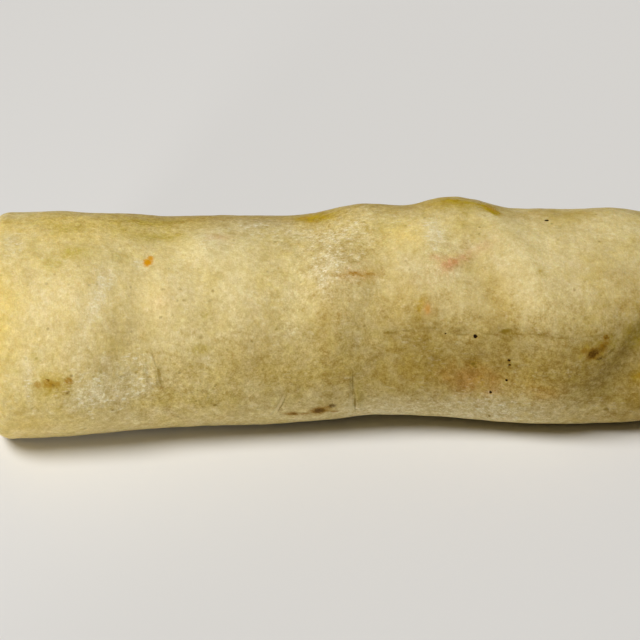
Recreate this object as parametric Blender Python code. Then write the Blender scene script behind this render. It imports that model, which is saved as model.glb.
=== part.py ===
"""A rolled wrap: one soft flour tortilla round its filling, both ends folded in, lying on its flat side.

Frame: +X along the roll, +Y to its back, +Z up, with the origin on the surface under the middle.
Angles round the roll are in degrees: 0 at the back, 90 on top, 180 in front, 270 underneath.
"""

from dataclasses import dataclass

import bmesh
import bpy
import numpy as np

MM = 0.001

# Driving dimensions, in metres unless a name says otherwise
LENGTH = 175 * MM
TORTILLA_RADIUS = 140 * MM
SHEET = 2.0 * MM  # one layer of tortilla, which is the step at its free edge
SQUARENESS = 2.25  # exponent of the section: 2 is an ellipse
REST_SINK = 2.2 * MM  # how far the round section would reach below the surface
REST_BLEND = 0.2 * MM  # half height of the bend from the flat underside into the round
REST_AT = (-64 * MM, 62 * MM)  # where along the roll it touches the surface
REST_STRIP = 4 * MM  # length of the flat strip that touches it at each of these
REST_CLEAR = 0.8 * MM  # how far the rest of the underside clears the surface
REST_REACH = 8 * MM  # how soon beyond a strip it does so
RIM_RADIUS = 5.0 * MM  # fold at each end
FACE_DISH = 3.0 * MM  # how far the middle of an end lies inside its rim
FACE_MIDDLE_Y, FACE_MIDDLE_Z = -1.5 * MM, -2.5 * MM  # where the roll's own middle lies in an end
SPIRAL_TURNS = 2.3  # turns of the rolled edge that an end shows
SPIRAL_DEPTH = 2.0 * MM  # step from one layer down to the next one inwards
SPIRAL_SLOPE = 0.7  # power by which a layer rises towards its edge
SPIRAL_LIP = 0.3  # share of a layer that its rounded edge takes
SPIRAL_START = 0.12  # share of the radius over which the spiral comes in from the rim
PLEATS = 5
PLEAT_DEPTH = 0.6 * MM
PLEAT_TWIST = 3.0  # radians that the pleats turn from the rim to the middle
FACE_FADE = 0.5  # power of the radius by which an end's layers fade towards the middle
TIP_DEPTH = 0.3 * MM
SAME_POINT = 0.001 * MM  # points of the free edge this close are one
SHARP_DEG = 50  # a crease sharper than this, such as the free edge, isn't shaded smooth

# The tortilla's free edge is an arc of its own rim: under the roll in the middle, up the back at the ends
EDGE_LOWEST_DEG = -52.0
EDGE_MIDDLE = 6 * MM

# Mesh density
COLUMNS = 60
AROUND = 44
RIM_RINGS = 3
FACE_RINGS = 18


@dataclass(frozen=True)
class Station:
    """The section's place and size at one distance along the roll; it lies free of the surface by lift."""

    along: float
    sway: float
    lift: float
    half_width: float
    half_height: float


@dataclass(frozen=True)
class Lump:
    """A smooth swelling of the filling under the tortilla, or a hollow where its height is negative."""

    along: float
    around_deg: float
    height: float
    length: float
    spread: float
    turn_deg: float = 0.0


STATIONS = (
    Station(-88 * MM, -2.5 * MM, 0.0 * MM, 30.5 * MM, 27.7 * MM),
    Station(-62 * MM, -1.3 * MM, 0.0 * MM, 29.7 * MM, 27.0 * MM),
    Station(-36 * MM, 1.0 * MM, 0.0 * MM, 28.6 * MM, 25.7 * MM),
    Station(-8 * MM, 2.0 * MM, 0.0 * MM, 28.2 * MM, 25.3 * MM),
    Station(14 * MM, 1.7 * MM, 2.0 * MM, 28.1 * MM, 25.2 * MM),
    Station(36 * MM, 0.2 * MM, 1.2 * MM, 28.8 * MM, 25.7 * MM),
    Station(60 * MM, -2.4 * MM, 0.0 * MM, 29.3 * MM, 26.2 * MM),
    Station(88 * MM, -0.3 * MM, 0.0 * MM, 27.6 * MM, 24.7 * MM),
)

LUMPS = (
    # the left shoulder, the bulges beside it and a round knob on top of them
    Lump(-61 * MM, 142, 1.3 * MM, 6.5 * MM, 15 * MM, -8),
    Lump(-71 * MM, 66, 0.7 * MM, 7 * MM, 10 * MM),
    Lump(-48 * MM, 152, -0.7 * MM, 4 * MM, 15 * MM, -8),
    Lump(-40 * MM, 134, 0.7 * MM, 4 * MM, 12 * MM, 20),
    Lump(-21 * MM, 134, 1.3 * MM, 6.5 * MM, 14 * MM),
    Lump(-31 * MM, 104, 1.4 * MM, 4.5 * MM, 4.5 * MM),
    Lump(-27 * MM, 72, 0.7 * MM, 8 * MM, 9 * MM),
    Lump(-43 * MM, 66, -0.5 * MM, 6 * MM, 9 * MM),
    Lump(2.5 * MM, 132, 1.2 * MM, 4.5 * MM, 13 * MM),
    Lump(15 * MM, 138, -0.9 * MM, 5 * MM, 15 * MM),
    # two crests on top and a third near the right end
    Lump(9 * MM, 70, 1.8 * MM, 6.5 * MM, 9 * MM),
    Lump(33 * MM, 66, 2.8 * MM, 8 * MM, 10 * MM),
    Lump(48 * MM, 62, -0.5 * MM, 4 * MM, 9 * MM),
    Lump(73 * MM, 70, 1.8 * MM, 7 * MM, 10 * MM),
    # the pillow between the crests, the slanting fold on the right and the hollow between them
    Lump(25 * MM, 112, 0.9 * MM, 7 * MM, 10 * MM),
    Lump(50 * MM, 122, 1.4 * MM, 4 * MM, 13 * MM, 22),
    Lump(39 * MM, 128, -0.9 * MM, 3.5 * MM, 12 * MM, 30),
    # the right half's edge along the front, with its flatter face below
    Lump(43 * MM, 151, 1.5 * MM, 25 * MM, 5 * MM),
    Lump(40 * MM, 186, -2.3 * MM, 25 * MM, 10 * MM),
    Lump(30 * MM, 226, 1.0 * MM, 28 * MM, 6 * MM),
    # the tuck that runs down to the front at the right end
    Lump(76 * MM, 181, -3.0 * MM, 5 * MM, 15 * MM, -38),
    # the back, where the edge of the tortilla lies over chunks of filling
    Lump(-44 * MM, 30, 0.9 * MM, 9 * MM, 10 * MM),
    Lump(-12 * MM, 8, 0.8 * MM, 8 * MM, 11 * MM),
    Lump(20 * MM, 24, -0.8 * MM, 4 * MM, 14 * MM, 12),
    Lump(48 * MM, 14, 1.0 * MM, 10 * MM, 9 * MM),
    Lump(70 * MM, 40, -0.7 * MM, 4 * MM, 12 * MM),
)


def read_curve(at, along, values):
    """A smooth curve through the points (along, values): cubic pieces with the slopes of their neighbours."""
    along, values = np.asarray(along), np.asarray(values)
    slopes = np.gradient(values, along)
    k = np.clip(np.searchsorted(along, at) - 1, 0, len(along) - 2)
    span = along[k + 1] - along[k]
    u = (at - along[k]) / span
    ends = values[k] * (1 + 2 * u) * (1 - u) ** 2 + values[k + 1] * u**2 * (3 - 2 * u)
    return ends + span * u * (1 - u) * (slopes[k] * (1 - u) - slopes[k + 1] * u)


def station_value(name, x):
    """One field of the stations, read at x."""
    return read_curve(x, [s.along for s in STATIONS], [getattr(s, name) for s in STATIONS])


def free_edge(x):
    """Angle of the tortilla's free edge at x, in radians: the sagitta of its round rim, laid up the back."""
    rise = TORTILLA_RADIUS - np.sqrt(TORTILLA_RADIUS**2 - (x - EDGE_MIDDLE) ** 2)
    return np.radians(EDGE_LOWEST_DEG) + rise / station_value("half_height", x)


def relief(x, angle):
    """Height of the lumps over the plain section at (x, angle)."""
    radius = station_value("half_height", x)
    total = np.zeros_like(angle)
    for lump in LUMPS:
        off = (angle - np.radians(lump.around_deg) + np.pi) % (2 * np.pi) - np.pi
        along, across = x - lump.along, off * radius
        c, s = np.cos(np.radians(lump.turn_deg)), np.sin(np.radians(lump.turn_deg))
        u, w = (along * c - across * s) / lump.length, (along * s + across * c) / lump.spread
        total += lump.height * np.exp(-0.5 * (u * u + w * w))
    return total


def clearance(x):
    """How far the flat underside clears the surface at x: nothing on the two strips that it rests on."""
    away = max(min(abs(x - at) for at in REST_AT) - REST_STRIP / 2, 0.0)
    return REST_CLEAR * (1 - np.exp(-away / REST_REACH))


def rested(x, z):
    """Heights at x with all below the underside laid flat on it, through a short bend."""
    base = clearance(x)
    over = z - base
    bend = (over + REST_BLEND) ** 2 / (4 * REST_BLEND)
    return base + np.where(over < -REST_BLEND, 0.0, np.where(over < REST_BLEND, bend, over))


def ring(x, inset=0.0, share=1.0, shift=0.0, step=SHEET):
    """Points round the roll at x, starting on the free edge and ending just under it.

    The radius is a superellipse, plus a step of one sheet that runs out over the turn, plus the lumps.
    An end's ring is drawn in by inset and then scaled by share towards the middle of the face,
    and shift moves its points along the roll.
    """
    turn = np.linspace(0.0, 1.0, AROUND + 1)
    angle = free_edge(x) + 2 * np.pi * turn
    wide, high = station_value("half_width", x), station_value("half_height", x)
    section = np.abs(np.cos(angle) / wide) ** SQUARENESS + np.abs(np.sin(angle) / high) ** SQUARENESS
    radius = section ** (-1 / SQUARENESS) + step * (0.5 - turn) + relief(x, angle)
    radius = (radius - inset) * share
    y = station_value("sway", x) + FACE_MIDDLE_Y * (1 - share) + radius * np.cos(angle)
    middle_z = high - REST_SINK + station_value("lift", x) + FACE_MIDDLE_Z * (1 - share)
    z = rested(x, middle_z + radius * np.sin(angle))
    return np.stack([x + shift + 0 * angle, y, z], axis=1)


def face_relief(share):
    """How far an end's face stands out at share of its radius: layers along a spiral, and pleats."""
    turn = np.linspace(0.0, 1.0, AROUND + 1)
    phase = (1 - share) * SPIRAL_TURNS - turn
    part = phase % 1.0
    lip = 1 - np.clip((1 - part) / SPIRAL_LIP, 0.0, 1.0)
    layer = part**SPIRAL_SLOPE * np.sqrt(1 - lip**2)
    start = min((1 - share) / SPIRAL_START, 1.0)
    pleat = np.cos(2 * np.pi * PLEATS * turn + PLEAT_TWIST * share)
    fade = 6 * share**2 * (1 - share)  # strongest at two thirds of the radius, nothing at the rim
    return start * share**FACE_FADE * SPIRAL_DEPTH * (layer - 1) + PLEAT_DEPTH * fade * (pleat - 1)


def end_rings(side):
    """Rings of one end, from the long side over the rim, where the step runs out, to near the middle."""
    inner = side * (LENGTH / 2 - RIM_RADIUS)
    rings = []
    for k in range(1, RIM_RINGS + 1):
        bend = 0.5 * np.pi * k / RIM_RINGS
        drawn_in, out = RIM_RADIUS * (1 - np.cos(bend)), RIM_RADIUS * np.sin(bend)
        rings.append(ring(inner, inset=drawn_in, shift=side * out, step=SHEET * np.cos(bend)))
    for k in range(1, FACE_RINGS):
        share = 1 - k / FACE_RINGS
        out = RIM_RADIUS - FACE_DISH * (1 - share**2) + face_relief(share)
        rings.append(ring(inner, inset=RIM_RADIUS, share=share, shift=side * out, step=0.0))
    return rings


def join_rings(bm, first, second):
    """Quads between two rings of vertices, the step at the free edge among them."""
    for a in range(len(first)):
        b = (a + 1) % len(first)
        bm.faces.new((first[a], first[b], second[b], second[a]))


def close_face(bm, ring_vertices, side):
    """A fan from an end's last ring to one point in its middle, a little further in."""
    middle = np.mean([vertex.co for vertex in ring_vertices], axis=0)
    tip = bm.verts.new(middle - np.array([side * TIP_DEPTH, 0, 0]))
    for a in range(len(ring_vertices)):
        bm.faces.new((ring_vertices[a], ring_vertices[(a + 1) % len(ring_vertices)], tip))


def build_wrap():
    """The closed mesh: the long side's rings, with each end's rings going on from its last one."""
    straight = LENGTH / 2 - RIM_RADIUS
    columns = [ring(x) for x in np.linspace(-straight, straight, COLUMNS + 1)]
    bm = bmesh.new()
    loops = [
        [bm.verts.new(point) for point in points]
        for points in end_rings(-1)[::-1] + columns + end_rings(1)
    ]
    for first, second in zip(loops, loops[1:]):
        join_rings(bm, first, second)
    close_face(bm, loops[0], -1)
    close_face(bm, loops[-1], 1)
    bmesh.ops.remove_doubles(bm, verts=bm.verts[:], dist=SAME_POINT)
    bmesh.ops.triangulate(bm, faces=bm.faces[:])
    bmesh.ops.recalc_face_normals(bm, faces=bm.faces[:])
    mesh = bpy.data.meshes.new("tortilla_wrap")
    bm.to_mesh(mesh)
    bm.free()
    return mesh


def tortilla_material():
    """Soft, floury wheat tortilla: pale cream yellow and quite matt."""
    material = bpy.data.materials.new("tortilla")
    material.use_nodes = True
    shader = material.node_tree.nodes["Principled BSDF"]
    shader.inputs["Base Color"].default_value = (0.62, 0.50, 0.25, 1.0)
    shader.inputs["Roughness"].default_value = 0.6
    shader.inputs["Metallic"].default_value = 0.0
    return material


def main():
    """Clears the scene and adds the wrap."""
    for old in list(bpy.data.objects):
        bpy.data.objects.remove(old)
    mesh = build_wrap()
    mesh.materials.append(tortilla_material())
    mesh.shade_smooth()
    mesh.set_sharp_from_angle(angle=np.radians(SHARP_DEG))
    bpy.context.scene.collection.objects.link(bpy.data.objects.new("tortilla_wrap", mesh))


main()
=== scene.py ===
"""Looks of the rolled wrap: a soft flour tortilla with folds and creases, damp, floury and toasted in spots.

Frame: +X along the roll, +Y to its back, +Z up. Angles round the roll are in degrees: 0 at the back,
90 on top, 180 in front, 270 underneath. Lengths are in metres unless a name says otherwise.
"""

import itertools
import logging
from dataclasses import dataclass, field
from enum import Enum

import bmesh
import bpy
import numpy as np
from mathutils import Euler, Matrix, Vector


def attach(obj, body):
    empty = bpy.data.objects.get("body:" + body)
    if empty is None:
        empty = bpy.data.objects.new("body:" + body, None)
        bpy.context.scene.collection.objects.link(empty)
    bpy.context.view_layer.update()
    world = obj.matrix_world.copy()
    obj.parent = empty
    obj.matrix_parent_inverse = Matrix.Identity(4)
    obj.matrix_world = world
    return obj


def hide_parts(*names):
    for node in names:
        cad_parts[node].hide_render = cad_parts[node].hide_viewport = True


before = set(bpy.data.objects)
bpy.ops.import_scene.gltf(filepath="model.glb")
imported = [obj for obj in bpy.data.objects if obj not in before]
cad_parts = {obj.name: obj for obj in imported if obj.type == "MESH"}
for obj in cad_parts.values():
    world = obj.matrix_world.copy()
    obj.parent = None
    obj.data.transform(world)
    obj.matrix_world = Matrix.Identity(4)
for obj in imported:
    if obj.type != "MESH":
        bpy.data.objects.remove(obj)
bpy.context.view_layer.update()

log = logging.getLogger("wrap")

MM = 0.001
LATTICE_VALUES = 4099  # random values that an unevenness draws on, a prime number
LATTICE_STEPS = (73856093, 19349663, 83492791)  # large primes that scatter the lattice's corners among them
LATTICE_SHIFT = 0.37  # cells by which each seed moves its lattice
SAME_POINT = 0.001 * MM  # points of the ends' rings this close are one
OVAL_EDGE = (1.25, 0.45)  # from where to where a fleck's edge fades in, in half sizes
FLECK_REACH = 2 * MM  # how far a fleck reaches in and out of the skin

Triple = tuple[float, float, float]
Colour = Triple
Socket = bpy.types.NodeSocket


class Dressing(Enum):
    """What a patch of the tortilla carries, some of it painted light and shade; each is an attribute of the
    mesh, from 0 to 1.
    """

    OIL = "oil"  # damp and golden, where the filling's oil comes through
    OLIVE = "olive"  # small olive clouds
    PAINTED_SHADE_AND_SMUDGES = "painted_shade_and_smudges"  # painted shade in creases, along the right half's edge and in the tuck, and a few dark olive smudges
    YELLOW = "yellow"  # warm yellow, where the dough is thin and damp
    FLOUR_AND_PAINTED_LIGHT = "flour"  # dry and whitish flour, and painted light: the floor's bounce low in front and a highlight on the knob
    FLUSH = "flush"  # pink to peach, where the spiced filling shows through
    TOAST = "toast"  # browned by the griddle
    TAN = "painted_shade_tan"  # painted shade: duller and browner where shade falls, low on the right, in the tuck, along the top edge and on the bulges' sides turned from the light
    PAINTED_LIGHT = "pale"  # painted light: lighter and creamier where light falls full on the bulges and the knob, and low in front where the floor's light bounces up
    PAINTED_LIGHT_TINT = "cream"  # painted light: a whiter, less yellow tint, no lighter, mostly along the band that the low side light falls on and low in front where the floor's light bounces up
    COARSE = "coarse"  # grainier, with stronger olive clouds; mostly low in front, where it deepens the painted shade


class Spot(Enum):
    """Small sharp marks, drawn by the material alone."""

    PORE = "pore"  # a pinhole
    SPECK_AND_CREASE_SHADE = "speck_and_crease_shade"  # dark olive specks, and painted shade in thin creases
    RUST = "rust"  # lightly browned
    CHAR = "char"  # dark brown
    AMBER = "amber"  # a drop of spiced oil
    CREASE_HIGHLIGHT = "crease_highlight"  # painted highlight: a pale line on the lit lip of a crease


@dataclass(frozen=True)
class Station:
    """The section's place and size at one distance along the roll; it lies free of the surface by lift."""

    along: float
    sway: float
    lift: float
    half_width: float
    half_height: float


@dataclass(frozen=True)
class Patch:
    """An oval on the tortilla: its middle, its height or strength, its half sizes and its slant."""

    along: float
    around_deg: float
    amount: float
    length: float
    spread: float
    turn_deg: float = 0.0


@dataclass(frozen=True)
class Crease:
    """A groove from one place to another, bowed sideways by bow, with a lip of its own height on one side."""

    along: tuple[float, float]
    around_deg: tuple[float, float]
    depth: float
    width: float
    lip: float = 0.0
    bow: float = 0.0


def stations(*rows: tuple[float, ...]) -> tuple[Station, ...]:
    """Stations from rows of their fields in mm."""
    return tuple(Station(*(number * MM for number in row)) for row in rows)


def patches(*rows: tuple[float, ...], unit: float = 1.0) -> tuple[Patch, ...]:
    """Patches from rows: along in mm, around in degrees, amount, length and spread in mm, turn in degrees.

    Args:
        rows: The rows; one without a turn isn't slanted.
        unit: What the amounts are counted in.

    Returns:
        The patches.
    """
    return tuple(
        Patch(along * MM, around, amount * unit, length * MM, spread * MM, *turn)
        for along, around, amount, length, spread, *turn in rows
    )


def creases(*rows: tuple) -> tuple[Crease, ...]:
    """Creases from rows: both ends along in mm, both in degrees, then depth, width, lip and bow in mm.

    Args:
        rows: The rows; one may leave out its bow, or its lip and its bow.

    Returns:
        The creases.
    """
    return tuple(
        Crease(tuple(x * MM for x in along), around, *(size * MM for size in sizes))
        for along, around, *sizes in rows
    )


STATIONS = stations(
    (-88, -2.5, 0.0, 30.5, 27.7), (-62, -1.3, 0.0, 29.7, 27.0), (-36, 1.0, 0.0, 28.6, 25.7),
    (-8, 2.0, 0.0, 28.2, 25.3), (14, 1.7, 2.0, 28.1, 25.2), (36, 0.2, 1.2, 28.8, 25.7),
    (60, -2.4, 0.0, 29.3, 26.2), (88, -0.3, 0.0, 27.6, 24.7),
)

# Chunks of filling under the tortilla, as heights of their swellings, and the hollows between them
LUMPS = patches(
    # the left shoulder, the bulges beside it and a round knob on top of them
    (-61, 142, 1.3, 6.5, 15, -8), (-71, 66, 0.7, 7, 10), (-48, 152, -0.7, 4, 15, -8),
    (-40, 134, 0.7, 4, 12, 20), (-21, 134, 1.3, 6.5, 14), (-31, 104, 1.4, 4.5, 4.5),
    (-27, 72, 0.7, 8, 9), (-43, 66, -0.5, 6, 9), (2.5, 132, 1.2, 4.5, 13), (15, 138, -0.9, 5, 15),
    # two crests on top and a third near the right end
    (9, 70, 1.8, 6.5, 9), (33, 66, 2.8, 8, 10), (48, 62, -0.5, 4, 9), (73, 70, 1.8, 7, 10),
    # the pillow between the crests, the slanting fold on the right and the hollow between them
    (25, 112, 0.9, 7, 10), (50, 122, 1.4, 4, 13, 22), (39, 128, -0.9, 3.5, 12, 30),
    # the right half's edge along the front, with its flatter face below
    (43, 151, 1.5, 25, 5), (40, 186, -2.3, 25, 10), (30, 226, 1.0, 28, 6),
    # the tuck that runs down to the front at the right end
    (76, 181, -3.0, 5, 15, -38),
    # the back, where the edge of the tortilla lies over chunks of filling
    (-44, 30, 0.9, 9, 10), (-12, 8, 0.8, 8, 11), (20, 24, -0.8, 4, 14, 12), (48, 14, 1.0, 10, 9),
    (70, 40, -0.7, 4, 12),
    unit=MM,
)

CREASES = creases(
    # two short ones low in front, by the toasted spots
    ((-11.3, -15.2), (192, 213), 0.45, 0.6, 0.4),
    ((6.2, 6.6), (186, 219), 0.4, 0.55, 0.15, 0.5),
    # the broken line along the right half's edge
    ((12, 40), (160, 160), 0.16, 0.7, 0.06, 0.8),
    ((40, 60), (157, 160), 0.2, 0.7, 0.06, -0.6),
    # curved ones in the left half
    ((-45.5, -43.3), (168, 190), 0.35, 0.7, 0.12, 1.2),
    ((-24, -18), (190, 205), 0.12, 0.6, 0.0, 0.8),
    # the bottom of the tuck at the right end
    ((80, 66), (152, 192), 0.5, 1.6, 0.15, -2.0),
    # the back
    ((-60, -52), (10, 52), 0.3, 0.8, 0.15, 2.0),
    ((26, 35), (8, 48), 0.3, 0.8, 0.15, -2.0),
)

PATCHES = {
    Dressing.OIL: patches(
        (-4.4, 69, 3.0, 2.8, 3.0, 10), (-0.5, 74, 0.9, 4.5, 4.5), (34, 68, 0.9, 6.5, 4.0),
        (42.9, 72.5, 3.0, 1.7, 4.2, 27), (-53, 71, 0.35, 3.5, 4.5), (23.5, 147, 0.5, 1.5, 2.2),
        (78.8, 101, 0.4, 1.2, 2), (79, 186, 0.9, 2.2, 2.0), (-69.3, 179.5, 0.28, 5.5, 3.6),
    ),
    Dressing.OLIVE: patches(
        (35, 71, 0.7, 6.0, 5), (-64, 110, 0.9, 4.0, 3.0), (-69.5, 117, 0.6, 4.0, 2.4),
        (-53, 112, 0.6, 2.6, 2.0), (-43, 91, 0.8, 9, 4.0), (-53.5, 84, 0.4, 3.5, 3.0),
        (-66, 86, 0.6, 6.0, 3.5), (-46, 74, 0.7, 10.0, 4), (-32.3, 163, 0.7, 2.4, 1.8),
        (-30.5, 146, 0.5, 2.6, 2.0), (-73.6, 165, 0.6, 1.6, 1.4), (-79, 172, 0.5, 2.0, 1.4),
        (-66, 188, 0.3, 3.0, 2.0), (7.4, 201, 0.8, 1.8, 6.0), (79, 160, 0.6, 5.0, 4.0),
        (14, 92, 0.35, 6.0, 4.0),
    ),
    Dressing.PAINTED_SHADE_AND_SMUDGES: patches(
        # painted shade along the right half's edge and below it; the first is a smudge at the foot of the
        # gold stain
        (-4.6, 67, 0.5, 1.6, 2.4), (16.3, 161.5, 0.6, 3.0, 1.6), (25, 156, 0.2, 4.5, 1.8),
        (33, 159, 0.35, 2.2, 0.9), (44.2, 158, 0.75, 3.2, 1.6), (63.5, 174, 0.3, 3.0, 3.0),
        (36, 188, 0.45, 8.0, 4.5), (56, 183, 0.35, 6.0, 5.0), (22.5, 165, 0.35, 3.0, 5.0),
        (76, 202, 0.35, 3.0, 8, -30), (53.5, 158.5, 0.4, 4.0, 1.0), (63, 160, 0.25, 4.5, 0.9),
        # painted shade in upright streaks and creases lower down, and one small cluster of specks
        (7.2, 200, 0.25, 1.0, 7), (0, 190, 0.3, 1.4, 6), (-43.6, 182, 0.5, 1.1, 5),
        (26, 182, 0.35, 6, 7), (36.6, 178, 0.6, 1.3, 1.1), (45, 180, 0.3, 4.0, 3.0),
        # painted shadow in the tuck
        (80, 157, 0.3, 6.0, 5.0), (74, 170, 0.45, 3.0, 9, -38), (67, 187, 0.25, 4.5, 8, -30),
        (70, 200, 0.4, 1.4, 4),
        # small ones
        (54, 127, 0.3, 1.1, 0.9), (27, 110, 0.25, 0.9, 0.9), (-29, 148, 0.25, 1.0, 0.7),
    ),
    Dressing.YELLOW: patches(
        (20, 100, 0.7, 8.0, 6), (-85, 148, 0.65, 7.5, 26), (-62, 84, 0.75, 26, 10),
        (-78, 206, 0.35, 10, 8), (5, 88, 0.5, 8.0, 8), (-10, 176, 0.2, 26.0, 8),
        (-60, 150, 0.12, 28, 40),
    ),
    Dressing.FLOUR_AND_PAINTED_LIGHT: patches(
        # flour, with painted bounce light low in front and a painted highlight on the knob
        (-60, 186, 0.95, 8, 6.5), (-30, 102, 0.25, 5, 7), (-49.5, 178, 0.6, 5.5, 6),
        (-76, 177, 0.7, 1.4, 7), (27.8, 101, 1.0, 2.4, 6.0), (2, 97, 0.55, 9.0, 7),
        (1, 119, 0.75, 5.0, 5.5), (-1, 132, 0.5, 2.5, 5), (-57.5, 134, 0.8, 2.6, 8, -20),
        (-47.7, 115.5, 0.8, 1.9, 1.4), (8, 84, 0.3, 17, 10), (-18, 80, 0.55, 11, 7),
        (42, 211, 0.7, 14, 6), (12, 218, 0.5, 12, 6), (-80, 104, 0.5, 4.0, 6),
    ),
    Dressing.FLUSH: patches(
        (-27.5, 97, 0.3, 3.6, 2.0), (-42, 140, 0.15, 3.5, 3), (7.6, 129.2, 0.4, 5.0, 1.5),
        # a streak of red spice with its tail
        (31.0, 123.5, 0.95, 3.4, 1.8, 38), (33.6, 119.5, 0.6, 2.4, 1.1, 38),
        (39, 112, 0.3, 5.0, 1.6, 38), (27.6, 120, 0.45, 1.8, 1.1), (25.0, 149, 0.6, 1.1, 1.6),
        (36, 189.5, 0.6, 7, 5.0), (54, 194, 0.3, 5.0, 3),
    ),
    Dressing.TOAST: patches(
        (-69.6, 179.5, 0.75, 6.0, 4.4), (67.5, 166, 0.8, 5.2, 3.0, 30), (-9.7, 210.5, 0.3, 3.0, 2.2),
        (-2, 209.0, 0.6, 3.6, 2.6), (78, 160, 0.4, 5, 5), (7.8, 129.2, 0.4, 4.5, 0.8),
        (38.8, 192, 0.6, 1.6, 2.8), (34, 189, 0.3, 7.0, 5), (54, 194, 0.35, 5.0, 4),
        (36.6, 179, 0.4, 1.6, 1.8), (54, 127, 0.6, 1.4, 1.1),
    ),
    Dressing.TAN: patches(
        # painted shade along the top, low on the right, and in the tuck
        (-6, 58, 0.85, 40, 11), (-22, 72, 0.5, 18, 6), (4, 66, 0.7, 34, 8), (26, 70, 0.8, 11, 5),
        (60, 70, 0.6, 18, 6), (58, 178, 0.75, 38, 15), (38, 183, 1.0, 22, 7), (22, 189, 0.5, 24, 8),
        (82, 178, 0.9, 9, 20), (78, 208, 0.8, 9, 11), (24, 168, 0.55, 16, 12), (12, 150, 0.2, 14, 22),
        (40, 150, 0.2, 40, 30), (0, 90, 0.7, 7, 12), (4, 112, 0.5, 9, 12), (0, 130, 0.5, 4, 40),
        # painted shade beside the bulges, on their sides turned from the light
        (-51.5, 187, 0.4, 3, 8, -30), (-1.5, 153, 0.4, 3, 8), (18.5, 146, 0.4, 3, 8),
        (-51, 162, 0.3, 4, 9), (-42, 188, 0.3, 7, 6), (-18, 160, 0.35, 5, 8), (-20, 178, 0.25, 16, 8),
        (-9, 182, 0.25, 4, 6), (23, 146, 0.25, 4, 8), (39.5, 128, 0.3, 3.5, 10, 30),
        (43, 151, 0.75, 3.5, 9), (72, 127, 0.3, 9, 5, -30), (76, 146, 0.4, 5, 9, 30),
        (66, 173, 0.6, 6, 6, 30), (41, 179, 0.7, 3, 8, -30), (-34, 62, 1.0, 28, 8),
    ),
    Dressing.PAINTED_LIGHT: patches(
        # painted light on the lit sides of the bulges, on the knob and along the band that the light falls on
        (-40, 103, 0.45, 44, 11), (0, 233, 0.5, 90, 7), (-61.5, 146, 0.2, 5, 12), (-56, 89, 1.1, 7, 6),
        (43, 84, 1.0, 3.5, 8, 30), (12, 83, 0.5, 8, 3.5, -30), (6, 132, 0.5, 3, 8),
        (-52, 134, 0.35, 4, 12), (-78, 178, 0.5, 12, 15), (-23, 121, 1.0, 6, 13), (-30, 101, 2.0, 6, 8),
        (28, 101, 0.7, 3, 7), (-42, 138, 0.6, 8, 8), (-7, 142, 0.9, 4, 9), (25, 108, 0.6, 10, 9),
        (49, 86, 0.5, 7, 6), (48.5, 111, 0.8, 3, 8, 30), (73.5, 90, 0.7, 3, 8, -30),
        (28.5, 132, 0.6, 3, 8, 30), (60, 195, 0.7, 8, 3.5, 30), (-56, 217, 0.6, 18, 6),
        (53, 110, 1.2, 8, 14, 20), (76, 86, 1.0, 7, 7), (82, 100, 0.3, 8, 9),
        (36, 134, 0.7, 3.5, 8, -30), (52, 136, 0.7, 6, 8), (76, 120, 0.3, 9, 6),
        # painted light from the floor's bounce, low in front
        (11, 218, 1.5, 15, 7), (36, 218, 0.8, 20, 8), (51, 208, 0.6, 12, 9), (-6, 212, 1.0, 18, 7),
        (0, 238, 1.2, 90, 4), (-14, 204, 0.4, 6, 5), (56, 152, 0.5, 4, 7), (34, 158, 0.3, 4, 7, 30),
        (-31, 216, 0.4, 8, 5), (-65, 184, 1.0, 8, 4), (-16.5, 195, 0.8, 6, 6),
        (5, 194, 0.6, 2.5, 7, -30), (-52.5, 83, 0.8, 6, 6),
    ),
    Dressing.PAINTED_LIGHT_TINT: patches(
        # painted light: a whiter tint along the band that the side light falls on, and low in front where the
        # floor's light bounces up
        (-66, 138, 0.8, 14, 20), (-40, 132, 0.6, 12, 16), (-22, 136, 0.7, 8, 18), (0, 132, 0.8, 9, 16),
        (26, 138, 0.8, 18, 16), (52, 132, 0.8, 16, 20), (76, 132, 0.5, 10, 14), (-56, 214, 0.4, 18, 8),
        (20, 217, 0.8, 44, 8), (-34, 160, 0.4, 30, 10), (0, 20, 0.5, 90, 20),
    ),
    Dressing.COARSE: patches(
        (2, 106, 0.8, 11, 20), (30, 120, 0.3, 7, 9), (-50, 190, 0.55, 32, 15), (-5, 186, 0.5, 34, 20),
        (56, 186, 0.9, 44, 18), (-20, 66, 0.5, 60, 12), (-10, 10, 0.5, 60, 20), (40, -60, 0.6, 60, 40),
    ),
}

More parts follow.
